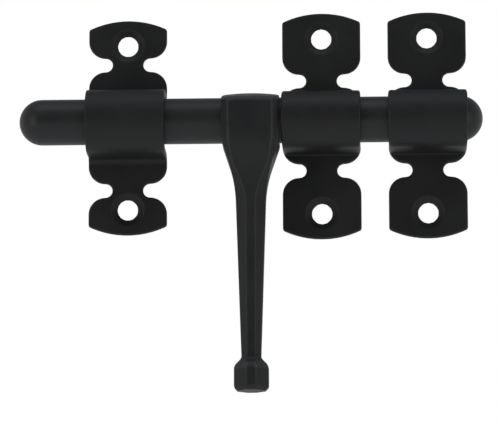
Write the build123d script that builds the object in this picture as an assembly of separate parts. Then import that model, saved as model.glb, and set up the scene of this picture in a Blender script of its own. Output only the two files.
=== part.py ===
from build123d import *
import os
from math import cos, radians, sin, sqrt

# Round slide bolt with a drop lever handle. Sizes are in millimetres.
# X runs along the bar, Y points into the door and Z points up. The door's face is the plane Y = 0,
# and the origin is the middle of the two guides' four screw holes on that face.

# round bar
bar_diameter = 16.0
tail_overhang = 5.4          # bar past the outer guide
tip_overhang = 23.5          # bar past the keeper

# places along the bar
guide_pitch = 37.2
hub_gap = 0.8                # hub to inner guide, bolt drawn back
throw = 19.9                 # hub to keeper, bolt drawn back

# saddle straps, pressed from sheet
sheet = 2.0
strap_width = 27.6
neck_width = 10.8
notch_radius = 2.5
tab_end_radius = 31.5
tab_corner_radius = 1.0
screw_hole_diameter = 7.0
countersink_diameter = 11.6
countersink_land = 0.35      # straight part of the hole under the countersink
hole_to_end = 9.05
rim_radius = 0.35            # rounding of the pressed sheet's front edges

# guides
guide_clearance = 0.25       # bar to arch, all round
guide_bend_radius = 0.5      # hollow corner at the foot of the arch
guide_arch_to_notch = 5.85
guide_notch_to_hole = 15.25

# keeper
keeper_clearance = 1.3
keeper_bend_radius = 2.2
keeper_arch_to_notch = 11.25
keeper_notch_to_hole = 6.85

# handle hub
hub_length = 20.0
hub_wall = 1.6
hub_clearance = 0.05         # running fit on the bar
hub_crown = 0.7              # how much lower the hub's ends are than its middle
hub_front_rise = 1.7         # flat front face beyond the hub's round
hub_bevel = 2.3              # slanted facets beside the flat front face
hub_back_bevel = 0.8
hub_brow_angle = 17.0        # fall of the top towards the front face
hub_brow_radius = 2.0
door_clearance = 0.6         # hub's front face to the door, with the lever turned up

# lever, seen from the front: widths and depths, with drops below the bar's axis
lever_length = 95.2
root_drop = 8.8
knee_drop = 22.6
knee_blend = 7.0             # the bend at the knee reaches this far up and down
knee_width = 10.8
knee_depth = 13.4
knee_front_width = 4.0
facet_swell = 1.0            # the front's slanted facets stand out this far above the knee
swell_leave = 3.2            # the swelled bend keeps its upper line this far down
swell_arrive = 5.5           # and its lower line this far up
neck_size = 6.9
neck_front_width = 3.0

# nub at the lever's end
nub_height = 11.2
nub_size = 12.2
nub_front_width = 3.8
nub_shoulder = 2.6           # height of the sloped shoulder
nub_bottom_slope = 1.3

# set screw, M5, in the back of the lever's root
set_screw_diameter = 5.0
set_screw_length = 4.0
set_screw_angle = 55.0       # below the level, towards the door
set_screw_socket = 2.5       # across flats
set_screw_socket_depth = 2.0
set_screw_point_chamfer = 0.8
set_screw_tip_gap = 0.05
thread_clearance = 0.05

bar_radius = bar_diameter / 2
hub_radius = bar_radius + hub_wall
hub_front_reach = hub_radius + hub_front_rise
hub_front_width = hub_length - 2 * hub_bevel
hub_back_width = hub_length - 2 * hub_back_bevel
axis_height = hub_front_reach + door_clearance

inner_guide_x = -guide_pitch / 2
outer_guide_x = guide_pitch / 2
hub_x = inner_guide_x - strap_width / 2 - hub_gap - hub_length / 2
keeper_x = hub_x - hub_length / 2 - throw - strap_width / 2
bar_right = outer_guide_x + strap_width / 2 + tail_overhang
bar_left = keeper_x - strap_width / 2 - tip_overhang
bar_length = bar_right - bar_left

bar_axis = Location((0, -axis_height, 0))
from_base = (Align.CENTER, Align.CENTER, Align.MIN)


def upright_plane(turn):
    # a vertical plane through the bar's axis under the hub; turn 0 faces the front, 90 faces +X
    across = (cos(radians(turn)), sin(radians(turn)), 0)
    facing = (sin(radians(turn)), -cos(radians(turn)), 0)
    return Plane(origin=(hub_x, -axis_height, 0), x_dir=across, z_dir=facing)


def sharp_edges(shape, angle):
    faces = shape.faces()
    found = []
    for edge in shape.edges():
        sides = [face for face in faces if any(other.is_same(edge) for other in face.edges())]
        middle = edge @ 0.5
        if len(sides) == 2 and sides[0].normal_at(middle).get_angle(sides[1].normal_at(middle)) > angle:
            found.append(edge)
    return found


def bolt_bar():
    shaft = Cylinder(bar_radius, bar_length - bar_diameter, rotation=(0, 90, 0))
    bar = shaft
    for end in (-1, 1):
        bar += Pos(end * (bar_length / 2 - bar_radius), 0, 0) * Sphere(bar_radius)
    return bar_axis * Pos((bar_left + bar_right) / 2, 0, 0) * bar


def strap_section(inner_radius, bend_radius, half_length):
    # the bent sheet seen along the bar: local X is the door's Y, local Y is Z
    outer_radius = inner_radius + sheet

    def arch(radius):
        legs = Pos(-axis_height / 2, 0) * Rectangle(axis_height, 2 * radius)
        crest = Circle(radius) & Pos(-radius / 2, 0) * Rectangle(radius, 2 * radius)
        return legs + Pos(-axis_height, 0) * crest

    tabs = Pos(-sheet / 2, 0) * Rectangle(sheet, 2 * half_length)
    body = tabs + arch(outer_radius)
    feet = [v for v in body.vertices() if abs(v.X + sheet) < 1e-6 and abs(abs(v.Y) - outer_radius) < 1e-6]
    body = fillet(feet, bend_radius)
    body -= arch(inner_radius)
    backs = [v for v in body.vertices() if abs(v.X) < 1e-6 and abs(abs(v.Y) - inner_radius) < 1e-6]
    return fillet(backs, bend_radius + sheet)


def strap_outline(notch_z, half_length):
    # the flat shape seen from the front: local X is X, local Y is Z
    notch_x = neck_width / 2 + notch_radius
    shoulder_radius = strap_width / 2 - notch_x
    half = Pos(0, half_length / 2) * Rectangle(strap_width, half_length)
    half &= Pos(0, half_length - tab_end_radius) * Circle(tab_end_radius)
    corners = half.vertices().sort_by(Axis.Y)[-2:]
    half = fillet(corners, tab_corner_radius)
    for side in (-1, 1):
        mouth = Pos(side * (notch_x + shoulder_radius), notch_z) * Rectangle(
            2 * shoulder_radius, 2 * (notch_radius + shoulder_radius))
        for up in (-1, 1):
            shoulder_z = notch_z + up * (notch_radius + shoulder_radius)
            mouth -= Pos(side * notch_x, shoulder_z) * Circle(shoulder_radius)
        half -= mouth
        half -= Pos(side * notch_x, notch_z) * Circle(notch_radius)
    return half + mirror(half, about=Plane.XZ)


def countersunk_hole():
    # along Y, from the door's face out through the sheet
    hole_radius = screw_hole_diameter / 2
    cone_depth = sheet - countersink_land
    flare = (countersink_diameter / 2 - hole_radius) / cone_depth
    spare = 1.0
    cutter = Cylinder(hole_radius, 4 * sheet)
    cone = Cone(hole_radius, hole_radius + flare * (cone_depth + spare), cone_depth + spare)
    cutter += Pos(0, 0, countersink_land + (cone_depth + spare) / 2) * cone
    return Rot(90, 0, 0) * cutter


def on_front_skin(point, inner_radius):
    # true on the side of the bent sheet that faces away from the door and the bar
    if point.Y < -axis_height:
        above_arch = sqrt((point.Y + axis_height) ** 2 + point.Z ** 2) - inner_radius
    else:
        above_arch = abs(point.Z) - inner_radius
    return above_arch > sheet / 2 and -point.Y > sheet / 2


def strap(x, clearance, bend_radius, arch_to_notch, notch_to_hole):
    inner_radius = bar_radius + clearance
    notch_z = inner_radius + sheet + arch_to_notch
    hole_z = notch_z + notch_to_hole
    half_length = hole_z + hole_to_end
    reach = axis_height + inner_radius + sheet
    section = strap_section(inner_radius, bend_radius, half_length)
    bent = extrude(Plane.YZ * section, strap_width / 2, both=True)
    flat = extrude(Plane.XZ * strap_outline(notch_z, half_length), 2 * reach, both=True)
    piece = bent & flat
    rim = [edge for edge in sharp_edges(piece, 45) if on_front_skin(edge @ 0.5, inner_radius)]
    piece = fillet(rim, rim_radius)
    for end in (-1, 1):
        piece -= Pos(0, 0, end * hole_z) * countersunk_hole()
    return Pos(x, 0, 0) * piece


def guide_strap(x):
    return strap(x, guide_clearance, guide_bend_radius, guide_arch_to_notch, guide_notch_to_hole)


def keeper_strap():
    return strap(keeper_x, keeper_clearance, keeper_bend_radius, keeper_arch_to_notch, keeper_notch_to_hole)


def lever_side(top, hub_half, knee_half, neck_half, nub_half, swell=0.0):
    # the right half of an upright silhouette of the handle, out from its middle line
    nub_top = lever_length - nub_height
    root = Vector(hub_half, -root_drop)
    knee = Vector(knee_half, -knee_drop)
    neck = Vector(neck_half, -nub_top)
    bend_start = knee + (root - knee) * (knee_blend / (knee_drop - root_drop)) + Vector(swell, 0)
    bend_end = knee + (neck - knee) * (knee_blend / (nub_top - knee_drop))
    bend = Bezier(bend_start, knee, bend_end)
    if swell:
        leave = bend_start + (bend_start - root) * (swell_leave / (knee_drop - knee_blend - root_drop))
        arrive = bend_end - (bend_end - knee) * (swell_arrive / knee_blend)
        bend = Bezier(bend_start, leave, arrive, bend_end)
    shoulder = Vector(nub_half, -nub_top - nub_shoulder)
    low_corner = Vector(nub_half, -lever_length + nub_bottom_slope)
    foot = Vector(nub_half - nub_bottom_slope, -lever_length)
    edge = [
        Line((hub_half, top), root),
        Line(root, bend_start),
        bend,
        Line(bend_end, neck),
        Line(neck, shoulder),
        Line(shoulder, low_corner),
        Line(low_corner, foot),
    ]
    return make_face(Curve() + edge + [Polyline(foot, (0, -lever_length), (0, top), (hub_half, top))])


def lever_outline(right, left):
    return right + mirror(left, about=Plane.YZ)


def hub_top_front():
    # crowned top edge of the hub, seen from the front
    half = hub_length / 2
    side = hub_radius - hub_crown
    crown = ThreePointArc((-half, side), (0, hub_radius), (half, side))
    box = Polyline((half, side), (half, 0), (-half, 0), (-half, side))
    return make_face(Curve() + [crown, box])


def hub_top_side():
    # hub seen along the bar: round over the top and back, with a brow above the flat front
    slope = radians(hub_brow_angle)
    brow_z = (hub_radius - hub_front_reach * sin(slope)) / cos(slope)
    brow = Polygon(
        (-hub_radius * sin(slope), hub_radius * cos(slope)),
        (-hub_front_reach, brow_z),
        (-hub_front_reach, 0),
        (0, 0),
        align=None)
    corner = [v for v in brow.vertices() if abs(v.X + hub_front_reach) < 1e-6 and abs(v.Y - brow_z) < 1e-6]
    return Circle(hub_radius) + fillet(corner, hub_brow_radius)


def facet_half(depth, front_width):
    # half distance across the slanted facets of an eight-sided section
    return (depth + front_width) / 2 / sqrt(2)


def handle():
    above = 2 * hub_radius
    low_facets = (
        facet_half(knee_depth, knee_front_width),
        facet_half(neck_size, neck_front_width),
        facet_half(nub_size, nub_front_width))
    front_half = lever_side(0, hub_length / 2, knee_width / 2, neck_size / 2, nub_size / 2)
    back_depth = lever_side(0, hub_radius, knee_depth / 2, neck_size / 2, nub_size / 2)
    front_depth = lever_side(0, hub_front_reach, knee_depth / 2, neck_size / 2, nub_size / 2)
    front_facet = facet_half(2 * hub_front_reach, hub_front_width)
    back_facet = facet_half(2 * hub_radius, hub_back_width)
    front_slant = lever_side(above, front_facet, *low_facets, swell=facet_swell)
    back_slant = lever_side(above, back_facet, *low_facets)
    silhouettes = (
        (0, lever_outline(front_half, front_half) + hub_top_front()),
        (90, lever_outline(back_depth, front_depth) + hub_top_side()),
        (45, lever_outline(back_slant, front_slant)),
        (-45, lever_outline(front_slant, back_slant)))
    body = None
    for turn, shape in silhouettes:
        slab = extrude(upright_plane(turn) * shape, 2 * hub_length, both=True)
        body = slab if body is None else body & slab
    bore = Cylinder(bar_radius + hub_clearance, 2 * hub_length, rotation=(0, 90, 0))
    body -= bar_axis * Pos(hub_x, 0, 0) * bore
    hole = Cylinder(set_screw_diameter / 2 + thread_clearance, 4 * hub_radius, align=from_base)
    return body - set_screw_place() * hole


def set_screw_place():
    # on the bar's axis under the hub's middle, with local Z pointing out along the screw
    slope = radians(set_screw_angle)
    outward = (0, cos(slope), -sin(slope))
    return Plane(origin=(hub_x, -axis_height, 0), x_dir=(1, 0, 0), z_dir=outward).location


def handle_set_screw():
    radius = set_screw_diameter / 2
    screw = Cylinder(radius, set_screw_length, align=from_base)
    screw = chamfer(screw.edges().sort_by(Axis.Z)[0], set_screw_point_chamfer)
    socket = extrude(RegularPolygon(set_screw_socket / 2, 6, major_radius=False), set_screw_socket_depth)
    screw -= Pos(0, 0, set_screw_length - set_screw_socket_depth) * socket
    return set_screw_place() * Pos(0, 0, bar_radius + set_screw_tip_gap) * screw


os.makedirs("parts", exist_ok=True)
nodes = {
    "bolt_bar": bolt_bar(),
    "handle": handle(),
    "handle_set_screw": handle_set_screw(),
    "guide_strap_inner": guide_strap(inner_guide_x),
    "guide_strap_outer": guide_strap(outer_guide_x),
    "keeper_strap": keeper_strap(),
}
for name, shape in nodes.items():
    export_step(shape, f"parts/{name}.step")
print("bar length", round(bar_length, 2), "hub at", round(hub_x, 2), "keeper at", round(keeper_x, 2))
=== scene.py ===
import bpy
import bmesh
from math import cos, pi, radians, sin, sqrt
from mathutils import Matrix, Vector


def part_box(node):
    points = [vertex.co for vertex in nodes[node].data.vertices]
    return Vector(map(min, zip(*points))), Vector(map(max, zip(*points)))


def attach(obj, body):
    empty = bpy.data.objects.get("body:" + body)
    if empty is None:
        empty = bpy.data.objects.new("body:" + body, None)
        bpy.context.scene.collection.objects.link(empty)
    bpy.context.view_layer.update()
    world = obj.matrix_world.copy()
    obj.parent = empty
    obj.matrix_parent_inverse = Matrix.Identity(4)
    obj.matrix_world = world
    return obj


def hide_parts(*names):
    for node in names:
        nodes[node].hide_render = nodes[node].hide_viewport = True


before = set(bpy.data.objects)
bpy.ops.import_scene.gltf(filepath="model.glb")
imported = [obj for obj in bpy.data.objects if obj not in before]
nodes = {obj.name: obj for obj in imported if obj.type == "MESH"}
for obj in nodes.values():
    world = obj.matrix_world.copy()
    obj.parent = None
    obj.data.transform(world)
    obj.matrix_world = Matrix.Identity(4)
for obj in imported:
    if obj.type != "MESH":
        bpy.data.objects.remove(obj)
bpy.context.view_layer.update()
scene = bpy.context.scene
print("frame loaded:", ", ".join(sorted(nodes)))

# metres throughout: X along the bar, Y into the door, Z up


def nodeMiddle(name):
    low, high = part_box(name)
    return (Vector(low) + Vector(high)) / 2


barLow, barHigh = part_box("bolt_bar")
barMiddle = nodeMiddle("bolt_bar")
barRadius = (barHigh.z - barLow.z) / 2


viewSettings = {
    "distance": 1.35,          # camera to the bar
    "pictureWidth": 0.1733,    # how much the picture takes in at the bar
    "sensor": 36.0,
    "leftOfHub": 0.0007,
    "belowBar": 0.03365,
    "lookUp": 10.0,            # degrees, the camera stands a little below the bar
    "fromRight": 2.1,
    "roll": 0.17,
}


def makeCamera(setting):
    data = bpy.data.cameras.new("camera")
    data.sensor_width = setting["sensor"]
    data.lens = setting["sensor"] * setting["distance"] / setting["pictureWidth"]
    data.clip_start = 0.01
    data.clip_end = 50.0
    camera = bpy.data.objects.new("camera", data)
    scene.collection.objects.link(camera)
    up = radians(setting["lookUp"])
    right = radians(setting["fromRight"])
    back = Vector((sin(right) * cos(up), -cos(right) * cos(up), -sin(up)))
    aimX = nodeMiddle("handle").x - setting["leftOfHub"]
    aim = Vector((aimX, barMiddle.y, barMiddle.z - setting["belowBar"]))
    camera.location = aim + back * setting["distance"]
    turn = (-back).to_track_quat("-Z", "Y").to_matrix().to_4x4()
    camera.rotation_mode = "QUATERNION"
    roll = Matrix.Rotation(radians(-setting["roll"]), 4, "Z")
    camera.rotation_quaternion = (turn @ roll).to_quaternion()
    scene.camera = camera


makeCamera(viewSettings)
print("camera placed")


class NodeDesk:
    # adds nodes to a tree and joins them up

    def __init__(self, tree):
        self.tree = tree

    def add(self, kind, **values):
        node = self.tree.nodes.new(kind)
        for name, value in values.items():
            setattr(node, name, value)
        return node

    def link(self, source, target):
        self.tree.links.new(source, target)

    def feed(self, target, value):
        if isinstance(value, bpy.types.NodeSocket):
            self.link(value, target)
        else:
            target.default_value = value

    def math(self, operation, *values, clamp=False):
        node = self.add("ShaderNodeMath", operation=operation, use_clamp=clamp)
        for place, value in enumerate(values):
            self.feed(node.inputs[place], value)
        return node.outputs[0]

    def spread(self, value, fromLow, fromHigh, toLow, toHigh):
        node = self.add("ShaderNodeMapRange")
        for place, item in enumerate((value, fromLow, fromHigh, toLow, toHigh)):
            self.feed(node.inputs[place], item)
        return node.outputs[0]

    def noise(self, vector, scale, detail=2.0, roughness=0.5):
        node = self.add("ShaderNodeTexNoise")
        self.link(vector, node.inputs["Vector"])
        node.inputs["Scale"].default_value = scale
        node.inputs["Detail"].default_value = detail
        node.inputs["Roughness"].default_value = roughness
        return node.outputs["Fac"]

    def mixColour(self, amount, first, second):
        node = self.add("ShaderNodeMix", data_type="RGBA")
        self.feed(node.inputs[0], amount)
        self.feed(node.inputs[6], first)
        self.feed(node.inputs[7], second)
        return node.outputs[2]

    def bump(self, height, distance, strength, under=None):
        node = self.add("ShaderNodeBump")
        node.inputs["Distance"].default_value = distance
        node.inputs["Strength"].default_value = strength
        self.link(height, node.inputs["Height"])
        if under is not None:
            self.link(under, node.inputs["Normal"])
        return node.outputs["Normal"]


def startMaterial(name):
    material = bpy.data.materials.new(name)
    material.use_nodes = True
    desk = NodeDesk(material.node_tree)
    shader = material.node_tree.nodes["Principled BSDF"]
    place = desk.add("ShaderNodeTexCoord").outputs["Object"]
    return material, desk, shader, place


coatLook = {
    "colour": (0.0185, 0.0187, 0.0198, 1),      # fresh coat
    "dusty": (0.0240, 0.0240, 0.0248, 1),       # where hands and dust have dulled it
    "edge": (0.050, 0.051, 0.054, 1),           # lighter rounded edges: partly thin coat and wear, partly a painted highlight
    "edgeBreaks": 9,                            # the edge's patches are this much finer than the clouds
    "roughness": (0.40, 0.54),
    "specular": 0.34,
    "cloudScale": 55.0,                         # patches about 18 mm across
    "peelScale": 1150.0,                        # ripple of the fused powder
    "peelDepth": 0.00002,
    "speckScale": 5200.0,                       # single grains
    "speckDepth": 0.000006,
    "edgeFrom": 0.512,                          # how pointed the mesh is where an edge begins to show
    "edgeTo": 0.60,
    "edgeWearAndSheenAmount": 0.75,
    "streakScale": (18.0, 1400.0, 1400.0),      # rubbing marks, long along the bar
}


def makeCoat(name, look, streaks=0.0):
    # satin powder coat, its edges lightened partly by wear and partly by a painted highlight; streaks adds
    # lengthwise rubbing marks to the roughness
    material, desk, shader, place = startMaterial(name)
    cloud = desk.noise(place, look["cloudScale"], 3.0)
    peel = desk.noise(place, look["peelScale"], 1.5)
    speck = desk.noise(place, look["speckScale"], 1.0)
    patches = desk.spread(cloud, 0.35, 0.68, 0.0, 1.0)
    colour = desk.mixColour(patches, look["colour"], look["dusty"])

    # lighter along pointed edges: part thin coat and wear, part a painted highlight for the light that
    # rounded edges catch
    breaks = desk.noise(place, look["cloudScale"] * look["edgeBreaks"], 4.0, 0.65)
    ragged = desk.spread(breaks, 0.3, 0.7, 0.55, 1.0)
    pointed = desk.add("ShaderNodeNewGeometry").outputs["Pointiness"]
    pointed = desk.spread(pointed, look["edgeFrom"], look["edgeTo"], 0.0, 1.0)
    edges = desk.math("MULTIPLY", pointed, ragged)
    # below a given height the lighter edges, wear and painted highlight alike, fade out
    if "edgeSheenFadeStart" in look:
        height = desk.add("ShaderNodeSeparateXYZ")
        desk.link(place, height.inputs[0])
        low = look["edgeSheenFadeStart"]
        fade = desk.spread(height.outputs["Z"], low, low + look["edgeSheenFadeHeight"], 0.0, 1.0)
        edges = desk.math("MULTIPLY", edges, fade)
    wornAndLitEdges = desk.math("MULTIPLY", edges, look["edgeWearAndSheenAmount"], clamp=True)
    desk.link(desk.mixColour(wornAndLitEdges, colour, look["edge"]), shader.inputs["Base Color"])

    low, high = look["roughness"]
    roughness = desk.spread(cloud, 0.3, 0.7, low, high)
    grain = desk.spread(speck, 0.3, 0.7, -0.03, 0.03)
    roughness = desk.math("ADD", roughness, grain)
    if streaks:
        stretch = desk.add("ShaderNodeMapping")
        stretch.inputs["Scale"].default_value = look["streakScale"]
        desk.link(place, stretch.inputs["Vector"])
        lines = desk.noise(stretch.outputs["Vector"], 1.0, 3.0, 0.6)
        roughness = desk.math("ADD", roughness, desk.spread(lines, 0.42, 0.7, 0.0, -streaks))
    smoothed = desk.math("MULTIPLY", wornAndLitEdges, 0.1)
    desk.link(desk.math("SUBTRACT", roughness, smoothed, clamp=True), shader.inputs["Roughness"])
    shader.inputs["Specular IOR Level"].default_value = look["specular"]

    ripple = desk.bump(peel, look["peelDepth"], 0.45)
    desk.link(desk.bump(speck, look["speckDepth"], 0.5, ripple), shader.inputs["Normal"])
    return material


screwLook = {
    "dark": (0.045, 0.044, 0.045, 1),
    "bare": (0.11, 0.105, 0.1, 1),
    "roughness": (0.28, 0.45),
    "blotchScale": 900.0,
    "grainScale": 5200.0,
    "grainDepth": 0.000008,
}


def makeScrewSteel(name, look):
    # blackened steel, blotchy where the black is thin
    material, desk, shader, place = startMaterial(name)
    blotch = desk.noise(place, look["blotchScale"], 4.0, 0.6)
    thin = desk.spread(blotch, 0.35, 0.7, 0.0, 1.0)
    desk.link(desk.mixColour(thin, look["dark"], look["bare"]), shader.inputs["Base Color"])
    low, high = look["roughness"]
    desk.link(desk.spread(blotch, 0.3, 0.7, low, high), shader.inputs["Roughness"])
    shader.inputs["Metallic"].default_value = 1.0
    grain = desk.noise(place, look["grainScale"])
    desk.link(desk.bump(grain, look["grainDepth"], 0.5), shader.inputs["Normal"])
    return material


castingLook = {
    **coatLook,
    "colour": (0.0230, 0.0233, 0.0246, 1),
    "dusty": (0.0290, 0.0290, 0.0298, 1),
    # edge colour far lighter than wear: a painted highlight along the casting's rounded edges
    "edge": (0.155, 0.157, 0.163, 1),
    "peelScale": 900.0,
    "peelDepth": 0.00003,
    "edgeFrom": 0.504,
    "edgeTo": 0.545,
    "edgeWearAndSheenAmount": 1.0,
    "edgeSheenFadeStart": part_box("handle")[0][2] + 0.0015,     # the painted edge highlight fades out at the nub's end
    "edgeSheenFadeHeight": 0.002,
}
castingCoat = makeCoat("castingCoat", castingLook)
strapCoat = makeCoat("strapCoat", coatLook)
barLook = {**coatLook, "roughness": (0.36, 0.48), "specular": 0.46}    # polished by sliding
barCoat = makeCoat("barCoat", barLook, streaks=0.07)
screwSteel = makeScrewSteel("screwSteel", screwLook)
print("materials made")


# the round bar
seam = 0.000002        # points closer than this are one point

barSettings = {
    "Radius": barRadius,
    "Length": barHigh.x - barLow.x,
    "Rings": 260,
    "Sides": 128,
}


def barTree(material):
    # a sheet of points rolled round the bar's axis
    # the rows run over one dome, along the bar and over the other dome
    tree = bpy.data.node_groups.new("domedBar", "GeometryNodeTree")
    desk = NodeDesk(tree)
    for name, kind in (("Radius", "NodeSocketFloat"), ("Length", "NodeSocketFloat"),
                       ("Rings", "NodeSocketInt"), ("Sides", "NodeSocketInt")):
        tree.interface.new_socket(name, in_out="INPUT", socket_type=kind)
    tree.interface.new_socket("Mesh", in_out="OUTPUT", socket_type="NodeSocketGeometry")
    given = desk.add("NodeGroupInput").outputs

    def times(value, factor):
        return desk.math("MULTIPLY", value, factor)

    grid = desk.add("GeometryNodeMeshGrid")
    grid.inputs["Size X"].default_value = 2.0
    grid.inputs["Size Y"].default_value = 1.0
    desk.link(given["Rings"], grid.inputs["Vertices X"])
    desk.link(given["Sides"], grid.inputs["Vertices Y"])
    spot = desk.add("ShaderNodeSeparateXYZ")
    desk.link(desk.add("GeometryNodeInputPosition").outputs[0], spot.inputs[0])

    radius = given["Radius"]
    straight = desk.math("SUBTRACT", times(given["Length"], 0.5), radius)
    outline = desk.math("ADD", straight, times(radius, pi / 2))
    along = times(spot.outputs["X"], outline)
    fromMiddle = desk.math("ABSOLUTE", along)
    overDome = desk.math("MAXIMUM", desk.math("SUBTRACT", fromMiddle, straight), 0.0)
    bend = desk.math("DIVIDE", overDome, radius)
    onBar = desk.math("MINIMUM", fromMiddle, straight)
    reach = desk.math("ADD", onBar, times(radius, desk.math("SINE", bend)))
    x = times(desk.math("SIGN", along), reach)
    girth = times(radius, desk.math("MAXIMUM", desk.math("COSINE", bend), 0.0))
    angle = times(spot.outputs["Y"], 2 * pi)
    place = desk.add("ShaderNodeCombineXYZ")
    desk.link(x, place.inputs["X"])
    desk.link(times(girth, desk.math("COSINE", angle)), place.inputs["Y"])
    desk.link(times(girth, desk.math("SINE", angle)), place.inputs["Z"])

    roll = desk.add("GeometryNodeSetPosition")
    desk.link(grid.outputs["Mesh"], roll.inputs["Geometry"])
    desk.link(place.outputs[0], roll.inputs["Position"])
    close = desk.add("GeometryNodeMergeByDistance")
    close.inputs["Distance"].default_value = seam
    desk.link(roll.outputs[0], close.inputs["Geometry"])
    real = desk.add("GeometryNodeRealizeInstances")
    desk.link(close.outputs[0], real.inputs[0])
    finish = desk.add("GeometryNodeSetMaterial")
    finish.inputs["Material"].default_value = material
    desk.link(real.outputs[0], finish.inputs["Geometry"])
    desk.link(finish.outputs[0], desk.add("NodeGroupOutput").inputs[0])
    return tree


def fromTree(name, tree, values, start=None):
    # runs a node tree and keeps the result as a plain mesh object
    maker = bpy.data.objects.new(name + "Maker", start or bpy.data.meshes.new(name + "Start"))
    scene.collection.objects.link(maker)
    modifier = maker.modifiers.new("nodes", "NODES")
    modifier.node_group = tree
    for item in tree.interface.items_tree:
        if item.in_out == "INPUT" and item.name in values:
            modifier[item.identifier] = values[item.name]
    return keepResult(name, maker)


def keepResult(name, maker):
    # the evaluated mesh of maker becomes an object with no modifiers
    ready = maker.evaluated_get(bpy.context.evaluated_depsgraph_get())
    mesh = bpy.data.meshes.new_from_object(ready)
    mesh.name = name
    maker.modifiers.clear()
    bpy.data.objects.remove(maker)
    piece = bpy.data.objects.new(name, mesh)
    scene.collection.objects.link(piece)
    return piece


def tidyMesh(mesh, weld=0.0):
    # welds loose corners and turns every face outwards
    work = bmesh.new()
    work.from_mesh(mesh)
    if weld:
        bmesh.ops.remove_doubles(work, verts=work.verts, dist=weld)
    bmesh.ops.recalc_face_normals(work, faces=work.faces)
    work.to_mesh(mesh)
    work.free()
    mesh.update()


def handOver(piece, body, node, material):
    piece.data.materials.clear()
    piece.data.materials.append(material)
    piece.data.shade_smooth()
    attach(piece, body)
    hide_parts(node)
    print(piece.name, "made,", len(piece.data.polygons), "faces")


roundBar = fromTree("roundBar", barTree(barCoat), barSettings)
roundBar.data.transform(Matrix.Translation(barMiddle))
tidyMesh(roundBar.data)
handOver(roundBar, "bolt", "bolt_bar", barCoat)


# the cast handle: level rings of one rounded eight-sided section, with the bore cut through
handleLow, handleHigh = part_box("handle")
hubX = (handleLow.x + handleHigh.x) / 2
mm = 0.001

handleSettings = {
    "hubHalf": (handleHigh.x - handleLow.x) / 2,
    "hubRadius": handleHigh.z - barMiddle.z,
    "frontReach": barMiddle.y - handleLow.y,
    "length": barMiddle.z - handleLow.z,
    "crown": 0.7 * mm,                 # the hub's top is this much lower at its ends
    "browAngle": 17.0,                 # fall of the hub's top towards the flat front
    "browRadius": 2.2 * mm,
    "topCorner": 0.9 * mm,
    # outlines down the lever: drop below the bar, size, and how far the bend there reaches
    "width": (
        (8.4, 10.0, 0.8), (22.6, 5.4, 6.5), (84.0, 3.42, 0.9),
        (86.4, 6.05, 1.3), (94.0, 6.05, 0.5), (95.2, 4.9, 0),
    ),
    "front": (
        (7.0, 11.3, 3.0), (22.6, 6.7, 7.0), (84.0, 3.45, 0.9),
        (86.4, 6.1, 1.3), (94.0, 6.1, 0.5), (95.2, 4.9, 0),
    ),
    "back": (
        (8.8, 9.6, 3.0), (22.6, 6.7, 7.0), (84.0, 3.45, 0.9),
        (86.4, 6.1, 1.3), (94.0, 6.1, 0.5), (95.2, 4.9, 0),
    ),
    "frontFlat": (
        (8.0, 7.7, 3.0), (16.4, 6.2, 2.2), (25.6, 1.75, 4.5),
        (84.0, 1.45, 0.9), (86.4, 1.75, 1.0), (95.2, 1.6, 0),
    ),
    "backFlat": (
        (6.0, 9.5, 3.0), (23.0, 2.3, 5.0), (84.0, 1.45, 0.9),
        (86.4, 1.75, 1.0), (95.2, 1.6, 0),
    ),
    "edge": (
        (6.0, 1.15, 4.0), (26.0, 0.9, 8.0), (84.0, 0.75, 1.0),
        (86.4, 1.0, 1.0), (94.0, 0.8, 0.5), (95.2, 0.6, 0),
    ),
    "bore": barRadius + 0.05 * mm,
    "fadeFrom": 0.55,                  # share of the hub's height where the slanted facets begin to run out
    "fadeOver": 0.4,
    "screwHole": 2.55 * mm,
    "screwSlope": 55.0,                # below the level, towards the door
    "crispAngle": 35.0,                # edges sharper than this stay sharp
}

ringSettings = {
    "stops": (0.0, 8.0, 31.0, 82.5),    # drops at which hub, knee, shank and nub begin
    "overTop": 34,           # rings from the hub's top down to the bar's axis
    "hub": 14,
    "knee": 46,
    "shank": 54,
    "nub": 34,
    "arc": 6,                # steps round each of the eight corners
    "acrossFront": 10,       # steps across the front and back flats
    "acrossSide": 4,
    "acrossFacet": 2,
}


def bentLine(drop, points):
    # a line through points of (drop, size, reach of the bend), each bend a parabola
    if drop <= points[0][0] - points[0][2]:
        return points[0][1]
    for place, (at, size, reach) in enumerate(points):
        before = points[max(place - 1, 0)]
        after = points[min(place + 1, len(points) - 1)]
        slopeIn = (size - before[1]) / (at - before[0]) if place else 0.0
        slopeOut = (after[1] - size) / (after[0] - at) if place < len(points) - 1 else 0.0
        if abs(drop - at) < reach:
            t = (drop - at + reach) / (2 * reach)
            start, end = size - slopeIn * reach, size + slopeOut * reach
            return (1 - t) ** 2 * start + 2 * t * (1 - t) * size + t ** 2 * end
        if drop <= at:
            return size + slopeIn * (drop - at)
    return points[-1][1]


def browReach(z, setting):
    # how far the hub's upper front stands out from the bar's axis at height z
    radius, front, bend = setting["hubRadius"], setting["frontReach"], setting["browRadius"]
    slope = radians(setting["browAngle"])
    if z >= radius * cos(slope):
        return sqrt(max(radius ** 2 - z ** 2, 0.0))
    centreY = front - bend
    centreZ = (radius - centreY * sin(slope)) / cos(slope) - bend / cos(slope)
    if z <= centreZ:
        return front
    touch = centreZ + bend * cos(slope)
    if z <= touch:
        return centreY + sqrt(max(bend ** 2 - (z - centreZ) ** 2, 0.0))
    return (radius - z * cos(slope)) / sin(slope)


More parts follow.
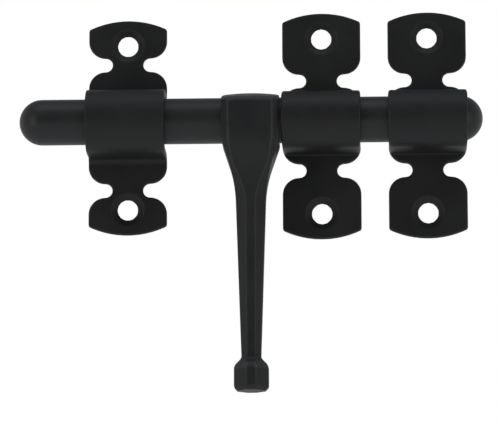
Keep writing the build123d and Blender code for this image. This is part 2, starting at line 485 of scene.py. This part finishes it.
def handleRing(z, setting, ring):
    # points round one level section, as (x, y) with the front at -y
    drop = -z / mm
    wide = bentLine(drop, setting["width"]) * mm
    front = bentLine(drop, setting["front"]) * mm
    back = bentLine(drop, setting["back"]) * mm
    edge = bentLine(drop, setting["edge"]) * mm
    frontFlat = bentLine(drop, setting["frontFlat"]) * mm
    backFlat = bentLine(drop, setting["backFlat"]) * mm
    if z > 0:
        radius, corner = setting["hubRadius"], setting["topCorner"]
        back = sqrt(max(radius ** 2 - z ** 2, 0.0))
        front = browReach(z, setting)
        over = max(z - (radius - corner), 0.0)
        wide -= corner - sqrt(max(corner ** 2 - over ** 2, 0.0))
        # the slanted facets run out towards the top
        fade = min(max((z / radius - setting["fadeFrom"]) / setting["fadeOver"], 0.0), 1.0)
        frontFlat += (wide - frontFlat) * fade
    edge = min(edge, 0.85 * min(front, back) + 0.000001)
    least = 0.6 * edge        # the smallest facet with room for its two rounded corners
    frontFacet = max(wide - frontFlat, least)
    backFacet = max(wide - backFlat, least)
    slantFront = (wide + front - frontFacet) / sqrt(2)
    slantBack = (wide + back - backFacet) / sqrt(2)
    # the eight sides, from +x anticlockwise
    reaches = [wide, slantBack, back, slantBack, wide, slantFront, front, slantFront]
    steps = [ring["acrossSide"], ring["acrossFacet"], ring["acrossFront"], ring["acrossFacet"]] * 2
    corners = []
    for side in range(8):
        turn, turnNext = side * pi / 4, (side + 1) * pi / 4
        inner, innerNext = reaches[side] - edge, reaches[(side + 1) % 8] - edge
        across = sin(pi / 4)
        centre = Vector((
            (inner * sin(turnNext) - innerNext * sin(turn)) / across,
            (innerNext * cos(turn) - inner * cos(turnNext)) / across))
        arc = []
        for step in range(ring["arc"] + 1):
            angle = turn + (turnNext - turn) * step / ring["arc"]
            arc.append(centre + edge * Vector((cos(angle), sin(angle))))
        corners.append(arc)
    points = []
    for side in range(8):
        arc, start = corners[side], corners[(side + 1) % 8][0]
        points += arc
        count = steps[(side + 1) % 8]
        points += [arc[-1].lerp(start, step / count) for step in range(1, count)]
    return points


def handleLevels(setting, ring):
    radius = setting["hubRadius"]
    levels = [radius * cos(pi / 2 * step / ring["overTop"]) for step in range(ring["overTop"])]
    stops = (*ring["stops"], setting["length"] / mm)
    for start, end, count in zip(stops, stops[1:], (ring["hub"], ring["knee"], ring["shank"], ring["nub"])):
        levels += [-mm * (start + (end - start) * step / count) for step in range(count)]
    return levels + [-setting["length"]]


def makeHandleBody(setting, ring):
    work = bmesh.new()
    rows = []
    for z in handleLevels(setting, ring):
        row = []
        for x, y in handleRing(z, setting, ring):
            rise = z
            if z > 0:
                side, top = x / setting["hubHalf"], z / setting["hubRadius"]
                rise -= setting["crown"] * side ** 2 * top ** 2
            row.append(work.verts.new((hubX + x, barMiddle.y + y, barMiddle.z + rise)))
        rows.append(row)
    for upper, lower in zip(rows, rows[1:]):
        for place in range(len(upper)):
            after = (place + 1) % len(upper)
            work.faces.new((upper[place], lower[place], lower[after], upper[after]))
    work.faces.new(rows[-1])
    bmesh.ops.remove_doubles(work, verts=rows[0], dist=0.00004)
    work.faces.ensure_lookup_table()
    bmesh.ops.holes_fill(work, edges=[edge for edge in work.edges if edge.is_boundary], sides=0)
    bmesh.ops.recalc_face_normals(work, faces=work.faces)
    mesh = bpy.data.meshes.new("handleBody")
    work.to_mesh(mesh)
    work.free()
    return mesh


def makeDrill(name, radius, length, turn, place, sides=128):
    work = bmesh.new()
    bmesh.ops.create_cone(work, cap_ends=True, segments=sides, radius1=radius, radius2=radius, depth=length)
    mesh = bpy.data.meshes.new(name)
    work.to_mesh(mesh)
    work.free()
    mesh.transform(Matrix.Translation(place) @ turn)
    drill = bpy.data.objects.new(name, mesh)
    scene.collection.objects.link(drill)
    return drill


def makeHandle(name, setting, ring):
    maker = bpy.data.objects.new(name + "Maker", makeHandleBody(setting, ring))
    scene.collection.objects.link(maker)
    axis = Vector((hubX, barMiddle.y, barMiddle.z))
    slope = radians(setting["screwSlope"])
    outward = Vector((0, cos(slope), -sin(slope)))
    along = Matrix.Rotation(pi / 2, 4, "Y")
    slanted = outward.to_track_quat("Z", "Y").to_matrix().to_4x4()
    wall = axis + outward * setting["hubRadius"]
    drills = [
        makeDrill("boreDrill", setting["bore"], 4 * setting["hubHalf"], along, axis),
        makeDrill("screwDrill", setting["screwHole"], 2 * setting["hubRadius"], slanted, wall, 64),
    ]
    for drill in drills:
        cut = maker.modifiers.new(drill.name, "BOOLEAN")
        cut.operation = "DIFFERENCE"
        cut.solver = "EXACT"
        cut.object = drill
    piece = keepResult(name, maker)
    for drill in drills:
        bpy.data.objects.remove(drill)
    return piece


def sharpenEdges(mesh, angle):
    # keeps crisp edges crisp under smooth shading
    mesh.shade_smooth()
    work = bmesh.new()
    work.from_mesh(mesh)
    for edge in work.edges:
        edge.smooth = not (edge.is_manifold and edge.calc_face_angle() > radians(angle))
    work.to_mesh(mesh)
    work.free()


leverHandle = makeHandle("leverHandle", handleSettings, ringSettings)
handOver(leverHandle, "handle", "handle", castingCoat)
sharpenEdges(leverHandle.data, handleSettings["crispAngle"])


# the pressed straps, softened as the coat softens them
strapSettings = {
    "grain": 0.0003,        # size of the faces
    "steps": 6,             # rounds of softening; more gives rounder edges
    "strength": 0.5,
}


def softCopy(name, node, setting):
    # an even, rounded skin over a CAD shape
    source = nodes[node].data.copy()
    source.materials.clear()
    tidyMesh(source, seam / 2)
    shape = bpy.data.objects.new(name + "Shape", source)
    maker = bpy.data.objects.new(name + "Maker", source)
    for helper in (shape, maker):
        scene.collection.objects.link(helper)
    skin = maker.modifiers.new("skin", "REMESH")
    skin.mode = "VOXEL"
    skin.voxel_size = setting["grain"]
    fit = maker.modifiers.new("fit", "SHRINKWRAP")
    fit.wrap_method = "NEAREST_SURFACEPOINT"
    fit.target = shape
    soft = maker.modifiers.new("soft", "SMOOTH")
    soft.factor = setting["strength"]
    soft.iterations = setting["steps"]
    piece = keepResult(name, maker)
    bpy.data.objects.remove(shape)
    tidyMesh(piece.data)
    return piece


strapPieces = (
    ("innerGuide", "guide_strap_inner", "guides"),
    ("outerGuide", "guide_strap_outer", "guides"),
    ("keeperStrap", "keeper_strap", "keeper"),
)
for name, node, body in strapPieces:
    handOver(softCopy(name, node, strapSettings), body, node, strapCoat)

screw = nodes["handle_set_screw"]
screw.data.materials.clear()
screw.data.materials.append(screwSteel)


stageSettings = {
    "floorDrop": 1.0,         # floor below the bar
    "floorSize": 6.0,
    "floorColour": (0.82, 0.82, 0.82, 1),
    "floorGlow": 0.55,        # lifts the floor towards white for the eye
    "floorLight": 0.24,       # what the floor throws up at the object
    "behind": 0.62,           # brightness of the surroundings behind the object
    "above": 0.26,
    "front": 0.1,
    "aboveTint": (0.88, 0.95, 1.0, 1),
}


def makeFloor(setting):
    # seen from above only, so that low views look past it
    size = setting["floorSize"]
    mesh = bpy.data.meshes.new("floor")
    z = barMiddle.z - setting["floorDrop"]
    corners = [(-size, -size, z), (size, -size, z), (size, size, z), (-size, size, z)]
    mesh.from_pydata(corners, [], [(0, 1, 2, 3)])
    floor = bpy.data.objects.new("floor", mesh)
    scene.collection.objects.link(floor)
    material, desk, shader, place = startMaterial("floorPaint")
    shader.inputs["Base Color"].default_value = setting["floorColour"]
    desk.link(desk.spread(desk.noise(place, 4.0), 0.3, 0.7, 0.7, 0.85), shader.inputs["Roughness"])
    shader.inputs["Emission Color"].default_value = (1, 1, 1, 1)
    seen = desk.add("ShaderNodeLightPath").outputs["Is Camera Ray"]
    glow = desk.spread(seen, 0.0, 1.0, setting["floorLight"], setting["floorGlow"])
    desk.link(glow, shader.inputs["Emission Strength"])
    clear = desk.add("ShaderNodeBsdfTransparent")
    mix = desk.add("ShaderNodeMixShader")
    desk.link(desk.add("ShaderNodeNewGeometry").outputs["Backfacing"], mix.inputs[0])
    desk.link(shader.outputs[0], mix.inputs[1])
    desk.link(clear.outputs[0], mix.inputs[2])
    desk.link(mix.outputs[0], material.node_tree.nodes["Material Output"].inputs[0])
    mesh.materials.append(material)


def makeSurroundings(setting):
    # white to the eye; as light, bright behind and above and dim in front
    world = bpy.data.worlds.new("paleRoom")
    scene.world = world
    world.use_nodes = True
    desk = NodeDesk(world.node_tree)
    light = world.node_tree.nodes["Background"]
    output = world.node_tree.nodes["World Output"]
    way = desk.add("ShaderNodeSeparateXYZ")
    desk.link(desk.add("ShaderNodeTexCoord").outputs["Generated"], way.inputs[0])
    aroundLevel = desk.spread(way.outputs["Y"], -0.75, 0.45, setting["front"], setting["behind"])
    up = desk.spread(way.outputs["Z"], 0.1, 0.9, 0.0, 1.0)
    tint = desk.mixColour(up, (1, 1, 1, 1), setting["aboveTint"])
    rise = desk.math("SUBTRACT", setting["above"], aroundLevel)
    level = desk.math("ADD", aroundLevel, desk.math("MULTIPLY", up, rise))
    desk.link(tint, light.inputs["Color"])
    desk.link(level, light.inputs["Strength"])
    white = desk.add("ShaderNodeBackground")
    mix = desk.add("ShaderNodeMixShader")
    desk.link(desk.add("ShaderNodeLightPath").outputs["Is Camera Ray"], mix.inputs[0])
    desk.link(light.outputs[0], mix.inputs[1])
    desk.link(white.outputs[0], mix.inputs[2])
    white.inputs[0].default_value = (1, 1, 1, 1)
    desk.link(mix.outputs[0], output.inputs[0])


lampSettings = {
    "topBox": {"place": (0.0, -0.25, 0.75), "size": (0.9, 0.5), "watts": 0.9, "colour": (0.86, 0.93, 1.0)},
    "leftBox": {"place": (-0.8, -0.75, 0.05), "size": (0.35, 0.8), "watts": 1.1, "colour": (1.0, 0.99, 0.97)},
    "rightBox": {"place": (0.8, -0.75, 0.05), "size": (0.35, 0.8), "watts": 0.9, "colour": (1.0, 0.99, 0.97)},
}


def makeLamp(name, setting):
    data = bpy.data.lights.new(name, "AREA")
    data.shape = "RECTANGLE"
    data.size, data.size_y = setting["size"]
    data.energy = setting["watts"]
    data.color = setting["colour"]
    lamp = bpy.data.objects.new(name, data)
    scene.collection.objects.link(lamp)
    lamp.location = barMiddle + Vector(setting["place"])
    lamp.rotation_mode = "QUATERNION"
    lamp.rotation_quaternion = (barMiddle - lamp.location).to_track_quat("-Z", "Y")


makeFloor(stageSettings)
makeSurroundings(stageSettings)
for name, setting in lampSettings.items():
    makeLamp(name, setting)
scene.view_settings.view_transform = "Standard"
print("floor and light made")
